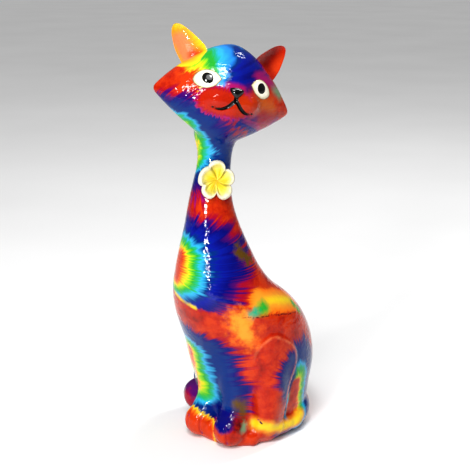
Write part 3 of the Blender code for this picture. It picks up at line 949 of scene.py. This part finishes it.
class Field:
    """A number, point or colour that varies over a surface: one output of a material's nodes."""

    def __init__(self, tree, socket=None):
        self.tree = tree
        self.socket = socket

    def node(self, kind, sockets, output=0, stops=(), **settings):
        """The output of a new node: its settings and stops come first, then its sockets are set or linked."""
        made = self.tree.nodes.new(kind)
        for name, value in settings.items():
            setattr(made, name, value)
        if stops:
            set_stops(made.color_ramp.elements, stops)
        for name, value in sockets.items():
            if isinstance(name, int):
                socket = made.inputs[name]
            else:
                socket = next(item for item in made.inputs if name in (item.identifier, item.name))
            if isinstance(value, Field):
                self.tree.links.new(value.socket, socket)
            else:
                socket.default_value = colour(value) if isinstance(value, str) else value
        return Field(self.tree, made.outputs[output])

    def calculate(self, operation, *values, output=0):
        """A Math node, or a Vector Math node if any value is a vector."""
        vector = any(is_vector(value) for value in values)
        kind = "ShaderNodeVectorMath" if vector else "ShaderNodeMath"
        sockets = {}
        for k, value in enumerate(values):
            sockets[k] = (value, value, value) if vector and isinstance(value, (int, float)) else value
        return self.node(kind, sockets, output, operation=operation)

    __add__, __radd__ = operator("ADD")
    __sub__, __rsub__ = operator("SUBTRACT")
    __mul__, __rmul__ = operator("MULTIPLY")
    __truediv__, __rtruediv__ = operator("DIVIDE")

    def dot(self, other):
        return self.calculate("DOT_PRODUCT", self, other, output="Value")

    def length(self):
        return self.calculate("LENGTH", self, output="Value")

    def normalized(self):
        return self.calculate("NORMALIZE", self)

    def size(self):
        return self.calculate("ABSOLUTE", self)

    def rise(self, low, high):
        """0 below low, 1 above high, and a smooth rise between."""
        sockets = {"Value": self, "From Min": low, "From Max": high}
        return self.node("ShaderNodeMapRange", sockets, interpolation_type="SMOOTHSTEP")

    def ramp(self, stops):
        """The colour at this value on a ramp of stops, each a value and a colour."""
        return self.node("ShaderNodeValToRGB", {"Fac": self}, stops=stops)

    def noise(self, scale, detail=2, roughness=0.5):
        """Soft noise from 0 to 1 around 0.5, at this place."""
        sockets = {"Vector": self, "Scale": scale, "Detail": detail, "Roughness": roughness}
        return self.node("ShaderNodeTexNoise", sockets)

    def mix(self, below, above):
        """The colour below where this mask is 0, and the colour above where it is 1."""
        sockets = {"Factor_Float": self, "A_Color": below, "B_Color": above}
        return self.node("ShaderNodeMix", sockets, 2, data_type="RGBA")

    def stored(self, name):
        """The numbers stored on the mesh under this name."""
        return self.node("ShaderNodeAttribute", {}, "Fac", attribute_name=name)


def set_stops(elements, stops):
    """Gives a colour ramp its stops."""
    while len(elements) < len(stops):
        elements.new(0.5)
    for element, (position, name) in zip(elements, stops):
        element.position = position
        element.color = colour(name)


def is_vector(value):
    """Whether a value is a point, or a field of points."""
    return value.socket.type == "VECTOR" if isinstance(value, Field) else isinstance(value, (tuple, Vector))


# %% New materials
def material(name, roughness):
    """A new material, its shader, and the field of the object's own places."""
    made = bpy.data.materials.new(name)
    made.use_nodes = True
    shader = made.node_tree.nodes["Principled BSDF"]
    shader.inputs["Roughness"].default_value = roughness
    return made, shader, Field(made.node_tree).node("ShaderNodeTexCoord", {}, "Object")


def feed(shader, name, field):
    field.tree.links.new(field.socket, shader.inputs[name])


def print_nodes():
    print("nodes in the cat's paint:", len(cat_paint.node_tree.nodes))


cat_paint, cat_shader, where = material("tie_dye_glaze", 0.03)
print_nodes()

# %% [markdown]
# ## Tie-dye by bursts
#
# In tie-dyed cloth each knot leaves rings round its fold, and the dye runs outwards along the pleats, so
# the rings have long teeth. A flat picture would stretch on this skin, so the paint is a set of rules. A
# burst measures the distance to a short fold line, in units of a reach for each direction. It adds a noise
# that stays the same along each pleat, and reads the ring's colour from a ramp. A patch is a soft cloud of
# one colour.

# %% Distance from a fold
place = (where - shift) * (1 / SHARE)


def from_fold(fold, reach):
    """The way from the nearest point of a fold line, in units of the reach, and how far along the fold."""
    begin, end = Vector(fold[0]), Vector(fold[1])
    way = end - begin
    along = (place - begin).dot(way / way.length_squared)
    along = along.node("ShaderNodeClamp", {"Value": along})
    return (place - (along * way + begin)) / reach, along


print_nodes()

# %% Pleats on the unrolled skin
UNROLL_RADIUS = 25
AXIS_SIDEWAYS, AXIS_SIDEWAYS_HEIGHTS = -5, (60, 150)
AXIS_FOOT, AXIS_LEAN, AXIS_LEAN_HEIGHTS = 6, -31, (40, 120)

up = place.dot((0, 0, 1))
axis_x = AXIS_SIDEWAYS * up.rise(*AXIS_SIDEWAYS_HEIGHTS)
axis_y = AXIS_FOOT + AXIS_LEAN * up.rise(*AXIS_LEAN_HEIGHTS)
from_axis = place - place.node("ShaderNodeCombineXYZ", {"X": axis_x, "Y": axis_y})


def smooth_rise(value, low, high):
    """For a plain number, what rise gives for a field."""
    t = min(max((value - low) / (high - low), 0), 1)
    return t * t * (3 - 2 * t)


def heading_on_skin(fold, rise):
    """The direction from the fold on the cat's unrolled skin: it stays the same along one pleat."""
    middle = (Vector(fold[0]) + Vector(fold[1])) / 2
    x, y = middle.x, middle.y - (AXIS_FOOT + AXIS_LEAN * smooth_rise(middle.z, *AXIS_LEAN_HEIGHTS))
    length = math.hypot(x, y)
    front, side = (x / length, y / length, 0), (-y / length, x / length, 0)
    turn = place.calculate("ARCTAN2", from_axis.dot(side), from_axis.dot(front))
    return place.node("ShaderNodeCombineXYZ", {"X": turn * UNROLL_RADIUS, "Y": rise}).normalized()


print_nodes()

# %% A burst and a patch
TOOTH_BASE, TOOTH_HEIGHT, TOOTH_WIDTH = 0.3, 0.45, 0.12
FULL_TEETH_FROM = 0.4
PLEATS_ALONG_FOLD = 4
DRIFT = 0.2

drift = place.noise(0.09, detail=1)
mottle = place.noise(0.2, detail=4, roughness=0.65)


def burst(below, fold, reach, rings, spokes=9, teeth=0.34, inner=0.14, blur=0.12):
    """Paints a burst of dye rings over the colour below."""
    out, along = from_fold(fold, reach)
    distance = out.length()
    rise = out.dot((0, 0, reach[2]))
    pleats = heading_on_skin(fold, rise) * spokes + along * PLEATS_ALONG_FOLD
    spread = (pleats.noise(1, detail=2, roughness=0.5) - 0.5).size()
    spikes = TOOTH_BASE - spread.rise(0, TOOTH_WIDTH) * TOOTH_HEIGHT
    strength = inner + (teeth - inner) * distance.rise(FULL_TEETH_FROM, 1)
    ragged = distance + spikes * strength + (drift - 0.5) * DRIFT
    inside = 1 - ragged.rise(1, 1 + blur)
    return inside.mix(below, ragged.ramp(rings.items()))


def patch(below, fold, radius, above, softness, streaks=0.4):
    """Paints a cloudy patch round a fold line over the colour below: of one colour, or of a field."""
    out, _ = from_fold(fold, (radius, radius, radius))
    ragged = out.length() + (mottle - 0.5) * streaks * 2
    return (1 - ragged.rise(1 - softness, 1 + softness / 2)).mix(below, above)


def layered(below, *layers):
    """Paints layers over each other: a burst where a layer has three reaches, a patch where it has one."""
    for begin, end, reach, *look in layers:
        paint_one = burst if isinstance(reach, tuple) else patch
        below = paint_one(below, (begin, end), reach, *look)
    return below


print_nodes()

# %% [markdown]
# ## Where the bursts lie
#
# The places are in shares from the cat's middle: x to its left, -y in front and z up. The hidden back and
# right side have fewer and plainer bursts, of the same kind. Each row has the two ends of a fold, its
# reach, its rings or colour, and then what burst or patch asks for. Later rows cover earlier ones.

# %% Rings of dye
FULL_RINGS = {
    0.11: "red orange", 0.17: "orange", 0.22: "yellow", 0.28: "lime", 0.35: "green", 0.41: "teal",
    0.46: "cyan", 0.57: "blue", 0.66: "deep blue", 0.85: "navy", 0.95: "purple", 1: "crimson",
}
LEG_RINGS = {
    0: "red orange", 0.08: "orange", 0.12: "yellow", 0.19: "lime", 0.27: "green", 0.35: "teal",
    0.41: "cyan", 0.53: "blue", 0.75: "blue", 0.88: "navy", 0.95: "purple", 1: "crimson",
}
CROWN_RINGS = {
    0.12: "red orange", 0.17: "yellow", 0.22: "lime", 0.26: "green", 0.33: "green", 0.38: "teal",
    0.43: "cyan", 0.53: "sky", 0.6: "blue", 0.68: "deep blue", 0.85: "navy", 0.96: "magenta",
    1: "crimson",
}
NECK_RINGS = {
    0.15: "orange", 0.23: "yellow", 0.28: "lime", 0.34: "green", 0.41: "teal", 0.46: "cyan",
    0.54: "blue", 0.66: "blue", 0.8: "navy", 0.94: "purple", 1: "crimson",
}
MUZZLE_RINGS = {0.7: "red", 0.88: "crimson", 1: "magenta"}
PAW_RINGS = {0.75: "red orange", 0.9: "orange", 1: "yellow"}
CUP_RINGS = {0.35: "pink orange", 0.6: "amber", 0.95: "yellow"}
AMBER_RINGS = {0.1: "yellow", 0.45: "amber", 0.85: "orange", 1: "red orange"}
TAIL_BAND = [(24.5, -22, 14.5), (31.5, -16, 11.5), (35, -7, 9.5), (36, 4, 9), (36.5, 10, 12)]
print("rings in a full burst:", len(FULL_RINGS))

# %% Hidden sides and trunk
clouds = place.noise(0.09, detail=4, roughness=0.65)
reds = clouds.ramp([(0.3, "deep red"), (0.46, "red"), (0.6, "red orange")])
paint = layered(
    reds,
    ((10, 14, 150), (6, 20, 128), (24, 24, 20), FULL_RINGS),
    ((4, 46, 78), (-4, 46, 56), (34, 30, 26), FULL_RINGS),
    ((-39, 12, 46), (-36, 14, 24), (30, 30, 26), FULL_RINGS),
    ((-10, 22, 222), (-12, 20, 206), (26, 26, 20), CROWN_RINGS),
    ((29, -22, 93), (31, 8, 87), (10, 10, 8), AMBER_RINGS, 8, 0.34, 0.14, 0.3),
    ((28, -23, 97), (29, -22, 91), 4.5, "amber", 1, 0.8),
    ((31, 8, 84), (32, 11, 80), 3.5, "green", 1, 1),
    ((-17, -44, 117), (-17, -44, 106), (46, 46, 28), FULL_RINGS),
    ((31, -22, 90), (30, -25, 89), 4.5, "green", 1, 1),
    ((29, -28, 88), (28, -31, 87), 3.5, "teal", 1, 1),
    ((16, -26, 122), (18, -20, 117), 4.5, "olive", 1, 2),
    ((-26, -42, 86), (10, -42, 79), 10.5, "crimson", 0.1, 0.25),
    ((-26, -42, 86), (10, -42, 79), 10, reds, 0.2),
    ((23, -37, 84), (26, -32, 72), 8, "orange", 1, 1.4),
    ((24, -36, 85), (26, -33, 74), 5, "amber", 1, 1.4),
    ((-20, -44, 95), (0, -47.5, 90), 1.5, "yellow", 1, 0.9),
)
print_nodes()

# %% Legs, paws and tail
paint = layered(
    paint,
    ((-20, -30, 55), (-17, -28, 30), (43, 43, 22), LEG_RINGS),
    ((-29, -20, 12), (-28, -18, 18), 13, "purple", 0.2),
    ((-30, -20, 8), (-29, -20, 13), 10, "crimson", 0.4),
    ((1, -33, 20), (13, -37, 17), 7, "navy", 0.3),
    ((18, -33, 17), (20, -31, 15), 4, "maroon", 1, 1.6),
    ((18, -29, 27), (20, -28, 24), 5, "olive", 1, 1),
    ((22, -28, 15), (21.5, -29, 12), 2.4, "grey green", 1, 1.4),
    ((-13, -36, 8), (-3, -37, 5), (8, 10, 11), PAW_RINGS, 4, 0.34, 0.2),
    ((38, 5, 36), (35, 7, 16), (30, 22, 30), LEG_RINGS),
    ((38.4, -3, 48), (37.5, -2, 33), 4, "navy", 0.6),
    ((31, -17, 30), (32, -14, 17), 10, reds, 0.3),
    ((37, 3, 35), (34, 2, 14), 4.6, reds, 0.4),
    *[(*ends, 4.6, "amber", 0.8) for ends in zip(TAIL_BAND, TAIL_BAND[1:])],
    *[(*ends, 2.6, "yellow", 0.8) for ends in zip(TAIL_BAND, TAIL_BAND[1:])],
    ((38, 5, 0), (20, -30, 0), 4, reds, 0.5),
    ((27.5, -20.2, 15.5), (28.6, -19.8, 14.4), 0.55, "black", 0.5, 0.1),
)
print_nodes()

# %% Head and neck
paint = layered(
    paint,
    ((-22, -48, 219), (-4, -44, 216), (32, 80, 66), CROWN_RINGS, 9, 0.34, 0.08),
    ((-22, -50, 214), (-17, -41, 226), 8, reds, 0.4),
    ((-22, -42, 193), (-19, -28, 175), (43, 24, 23), NECK_RINGS),
    ((22, -20, 208), (21, 8, 203), 9, reds, 0.8),
    ((23, -14, 207), (22, -6, 203), 7, "rust", 1, 0.8),
    ((19, 2, 214), (20, 6, 210), 4.5, "grey green", 1),
    ((18, -12, 220), (19, 1, 217), 4, "magenta", 1),
    ((14, -33, 218), (19, -27, 216), 2.5, "magenta", 0.8),
    ((22, -12, 198), (20, -4, 196), 5, "crimson", 1),
    ((-15, -32, 233), (-21, -33, 241), (10, 10, 10), CUP_RINGS, 3, 0.2),
    ((-13, -30, 233), (-11, -29, 233), 4, "red orange", 1),
    ((10, 10, 225), (13, 18, 235), 14, "red", 0.2),
    ((10, 7, 227), (10, 13, 232), 5, "deep red", 1),
    ((13, 13, 223), (13, 18, 227), 4, "red orange", 1),
    ((8, -43, 211), (22, -32, 207), (9, 9, 9), MUZZLE_RINGS, 5, 0.4),
    ((22, -30, 208), (24, -22, 206), 7, "brick", 1),
)
print_nodes()

# %% [markdown]
# ## Fine lines
#
# The mould's seam shows as a thin broken line across the left flank, too low to feel, so it is paint. The
# mouth is filled with black, and the toe grooves are painted purple, darkest along each groove. A pale line
# along the crest of the thigh's border is a painted highlight, where the glaze would catch the light.

# %% Seam, crest, toes and mouth
SEAM = [
    (27, -32.4, 85.7), (30.6, -26.7, 85), (33.7, -19.1, 84.7), (35.3, -11.4, 83.5), (35.7, -1.7, 81.5),
    (34.3, 6.6, 80),
]
SEAM_REACH = (8, 8, 1)
broken = place.noise(0.8, detail=1).rise(0.4, 0.55)
for ends in zip(SEAM, SEAM[1:]):
    gap, _ = from_fold(ends, SEAM_REACH)
    paint = ((1 - gap.length().rise(0.2, 0.6)) * broken * 0.7).mix(paint, "maroon")
# Painted highlight: a pale line along the crest of the thigh's border, stronger towards its back and top,
# where the glaze would catch the light.
dome = place.stored("dome")
painted_crest_highlight = dome.rise(0, 0.09) * (1 - dome.rise(0.1, 0.26)) * mottle.rise(0.3, 0.6)
painted_crest_highlight = painted_crest_highlight * place.dot((0, 1.5, 0.6)).rise(-8, 2)
paint = (painted_crest_highlight * 0.5).mix(paint, "pink orange")
# The toe grooves are painted purple, darkest along each groove.
paint = (0.75 * (1 - place.stored("toes").rise(0.1, 0.9))).mix(paint, "purple")
paint = (1 - place.stored("mouth").rise(1.1, 1.35)).mix(paint, "black")
feed(cat_shader, "Base Color", paint)
print_nodes()

# %% [markdown]
# ## The glaze
#
# A thick clear glaze is never quite even, and its slow waves break each lamp's reflection into bright
# squiggles. The waves are far lower than a cell of the skin is wide, so they are a bump in the material and
# not in the mesh. A second bump rounds the thigh a little more than the mesh does.

# %% Glaze
THIGH_BUMP = 7
GLAZE_HEIGHT = 0.0003
GLAZE_IOR = 1.33

wrinkles = (place * (0.3, 0.3, 0.5)).noise(1, detail=1)
height = wrinkles + dome.rise(0, 1) * THIGH_BUMP
bump = place.node("ShaderNodeBump", {"Strength": 1, "Distance": GLAZE_HEIGHT, "Height": height})
feed(cat_shader, "Normal", bump)
cat_shader.inputs["IOR"].default_value = GLAZE_IOR
cat.data.materials.append(cat_paint)
print("glaze over", cat.name)

# %% [markdown]
# ## Eyes, ink and clay
#
# The eye's white darkens to brown at its rim, a painted shade where the pad rounds off, by the numbers stored
# on the pad. The clay flower is yellow inside and pale outside, and darker in its creases, a painted shade. A
# little noise keeps each paint from looking as even as plastic.

# %% Small paints
eye_paint, shader, spot = material("eye_white", 0.14)
# Painted shade: the white darkens to beige and brown at the pad's rim, where it rounds off.
rim_shade = spot.stored("rim") + (spot.noise(400) - 0.5) * 0.12
feed(shader, "Base Color", rim_shade.ramp([(0.7, "f2ecda"), (0.9, "d8caa4"), (0.99, "584634")]))
for eye in eyes:
    eye.data.materials.append(eye_paint)

ink, shader, spot = material("black_gloss", 0.07)
feed(shader, "Base Color", spot.noise(250).ramp([(0.3, "030303"), (0.7, "101010")]))
for item in (*pupils, nose):
    item.data.materials.append(ink)

CLAY_RINGS = [(0, "cfa812"), (0.45, "d4be24"), (0.72, "cdc064"), (0.86, "d4ccae"), (1, "d2ccbb")]
clay, shader, spot = material("painted_clay", 0.45)
rim = spot.stored("rim")
petals = (rim + (spot.noise(500, detail=3) - 0.5) * 0.3).ramp(CLAY_RINGS)
# Painted shade: the petals darken to olive along the creases between them, fading out before the rim.
crease_shade = spot.stored("crease") * 0.6 * (1 - rim.rise(0.7, 0.95))
feed(shader, "Base Color", crease_shade.mix(petals, "7c6e0c"))
bloom.data.materials.append(clay)
print("small paints:", [paint.name for paint in (eye_paint, ink, clay)])

# %% [markdown]
# ## Floor and camera
#
# A wide pale floor catches the shadow and bounces light up. The camera stands where the photo's stood, as
# found by laying the model's outlines over the photo.

# %% Floor and camera
FLOOR_SIZE = 12
CAMERA_AROUND, CAMERA_UP, CAMERA_AWAY = 38, 15.4, 0.622
CAMERA_AIM = Vector((-0.00449, -0.00215, 0.12348))
LENS = 78.667


def direction(around, up):
    """A direction by its degrees round from the cat's front to its left, and up from the floor."""
    a, e = math.radians(around), math.radians(up)
    return Vector((math.sin(a) * math.cos(e), -math.cos(a) * math.cos(e), math.sin(e)))


grid = partial(bmesh.ops.create_grid, x_segments=1, y_segments=1, size=FLOOR_SIZE)
floor = add("floor", drawn("floor", grid))
floor_paint, shader, spot = material("pale_floor", 0.6)
feed(shader, "Base Color", spot.noise(4).ramp([(0.3, "e9e9e9"), (0.7, "eeeeee")]))
floor.data.materials.append(floor_paint)

lens = bpy.data.cameras.new("camera")
lens.lens = LENS
lens.sensor_width = 36
lens.clip_start = 0.01
camera = add("camera", lens)
toward = direction(CAMERA_AROUND, CAMERA_UP)
camera.location = CAMERA_AIM + toward * CAMERA_AWAY
camera.rotation_euler = toward.to_track_quat("Z", "Y").to_euler()
bpy.context.scene.camera = camera
print("camera at:", [round(value, 3) for value in camera.location])

# %% [markdown]
# ## Light
#
# A wet glaze is a mirror, so each lamp shows as a highlight. The lamps are small and bright, and each
# stands where some part of the glaze sends its light to the camera.

# %% Lamps and sky
CAT_MIDDLE = Vector((0, 0, 0.12))
SUN_AROUND, SUN_UP, SUN_AWAY, SUN_WIDTH = 25, 50, 10, 30
LAMPS_AWAY = 1.2
LAMPS = [
    ("low_window", 14, 11, (0.2, 0.11), 7),
    ("middle_window", 5, 32, (0.08, 0.24), 2.5),
    ("softbox", 28, 58, (0.2, 0.26), 5),
    ("back_strip", 162, 58, (0.12, 0.8), 6),
]
SKY_LOW, SKY_RISE = 0.16, 0.16

sun = bpy.data.lights.new("daylight", "SUN")
sun.energy = 1
sun.angle = math.radians(SUN_WIDTH)
sun_place = CAT_MIDDLE + direction(SUN_AROUND, SUN_UP) * SUN_AWAY
add("daylight", sun).rotation_euler = sun_place.to_track_quat("Z", "Y").to_euler()
for name, around, up, size, power in LAMPS:
    lamp = bpy.data.lights.new(name, "AREA")
    lamp.shape = "RECTANGLE"
    lamp.size, lamp.size_y = size
    lamp.energy = power
    made = add(name, lamp)
    made.location = CAT_MIDDLE + direction(around, up) * LAMPS_AWAY
    made.rotation_euler = (CAT_MIDDLE - made.location).to_track_quat("-Z", "Y").to_euler()

world = bpy.data.worlds.new("studio")
bpy.context.scene.world = world
world.use_nodes = True
heading = Field(world.node_tree).node("ShaderNodeTexCoord", {}, "Generated")
glow = SKY_LOW + SKY_RISE * heading.dot((0, 0, 1)).rise(0.3, 0.9)
background = world.node_tree.nodes["Background"]
background.inputs["Color"].default_value = (1, 1, 1, 1)
world.node_tree.links.new(glow.socket, background.inputs["Strength"])
print("lamps:", [name for name, *_ in LAMPS])
